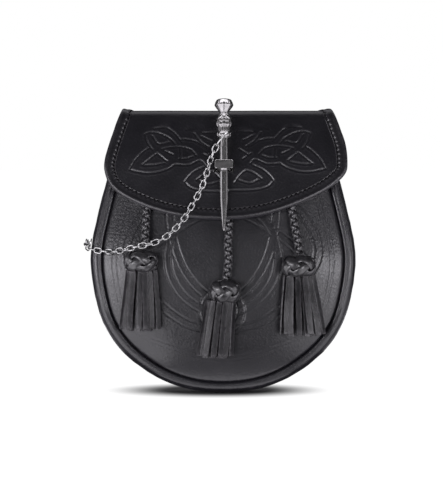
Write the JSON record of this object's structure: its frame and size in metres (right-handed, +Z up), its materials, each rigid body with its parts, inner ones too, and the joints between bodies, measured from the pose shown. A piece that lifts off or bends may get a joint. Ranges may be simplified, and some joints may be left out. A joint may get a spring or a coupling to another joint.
{
  "type": "sporran pouch",
  "caption": "Rounded leather sporran pouch with a bound flap, tooled front, bulged gusset, plaited tassels and a thistle-headed pin tethered by a fine chain.",
  "frame": {"origin": "the line of the strap, midway between the two loops on the back, in the gap between the loops and the back panel", "axes": "+Z up, front facing -Y and back facing +Y, +X to the right of someone who looks at the front"},
  "size_m": [0.1948, 0.0731, 0.2126],
  "materials": {
    "leather_body": "black, semi-gloss, fine grain",
    "leather_trim": "black, smooth, semi-gloss",
    "leather_lace": "black, supple, softly glossy",
    "silver_metal": "antique silver, dark in its recesses",
    "chain_metal": "bright silver"
  },
  "bodies": {
    "root": {"flap_and_back": "leather_body", "flap_binding": "leather_trim", "gusset": "leather_body", "front_panel": "leather_body", "keeper_staple": "silver_metal", "closing_pin": "silver_metal", "jump_ring": "silver_metal", "chain_stud": "silver_metal", "chain_link_01": "chain_metal", "chain_link_02": "chain_metal", "chain_link_03": "chain_metal", "chain_link_04": "chain_metal", "chain_link_05": "chain_metal", "chain_link_06": "chain_metal", "chain_link_07": "chain_metal", "chain_link_08": "chain_metal", "chain_link_09": "chain_metal", "chain_link_10": "chain_metal", "chain_link_11": "chain_metal", "chain_link_12": "chain_metal", "chain_link_13": "chain_metal", "chain_link_14": "chain_metal", "chain_link_15": "chain_metal", "chain_link_16": "chain_metal", "chain_link_17": "chain_metal", "chain_link_18": "chain_metal", "chain_link_19": "chain_metal", "chain_link_20": "chain_metal", "chain_link_21": "chain_metal", "chain_link_22": "chain_metal", "chain_link_23": "chain_metal", "chain_link_24": "chain_metal", "chain_link_25": "chain_metal", "chain_link_26": "chain_metal", "chain_link_27": "chain_metal", "chain_link_28": "chain_metal", "chain_link_29": "chain_metal", "chain_link_30": "chain_metal", "chain_link_31": "chain_metal", "chain_link_32": "chain_metal", "chain_link_33": "chain_metal", "plait_left": "leather_lace", "plait_middle": "leather_lace", "plait_right": "leather_lace", "tassel_knot_left": "leather_lace", "tassel_knot_middle": "leather_lace", "tassel_knot_right": "leather_lace", "tassel_skirt_left": "leather_lace", "tassel_skirt_middle": "leather_lace", "tassel_skirt_right": "leather_lace", "strap_loop_left": "leather_trim", "strap_loop_right": "leather_trim"}
  },
  "joints": []
}
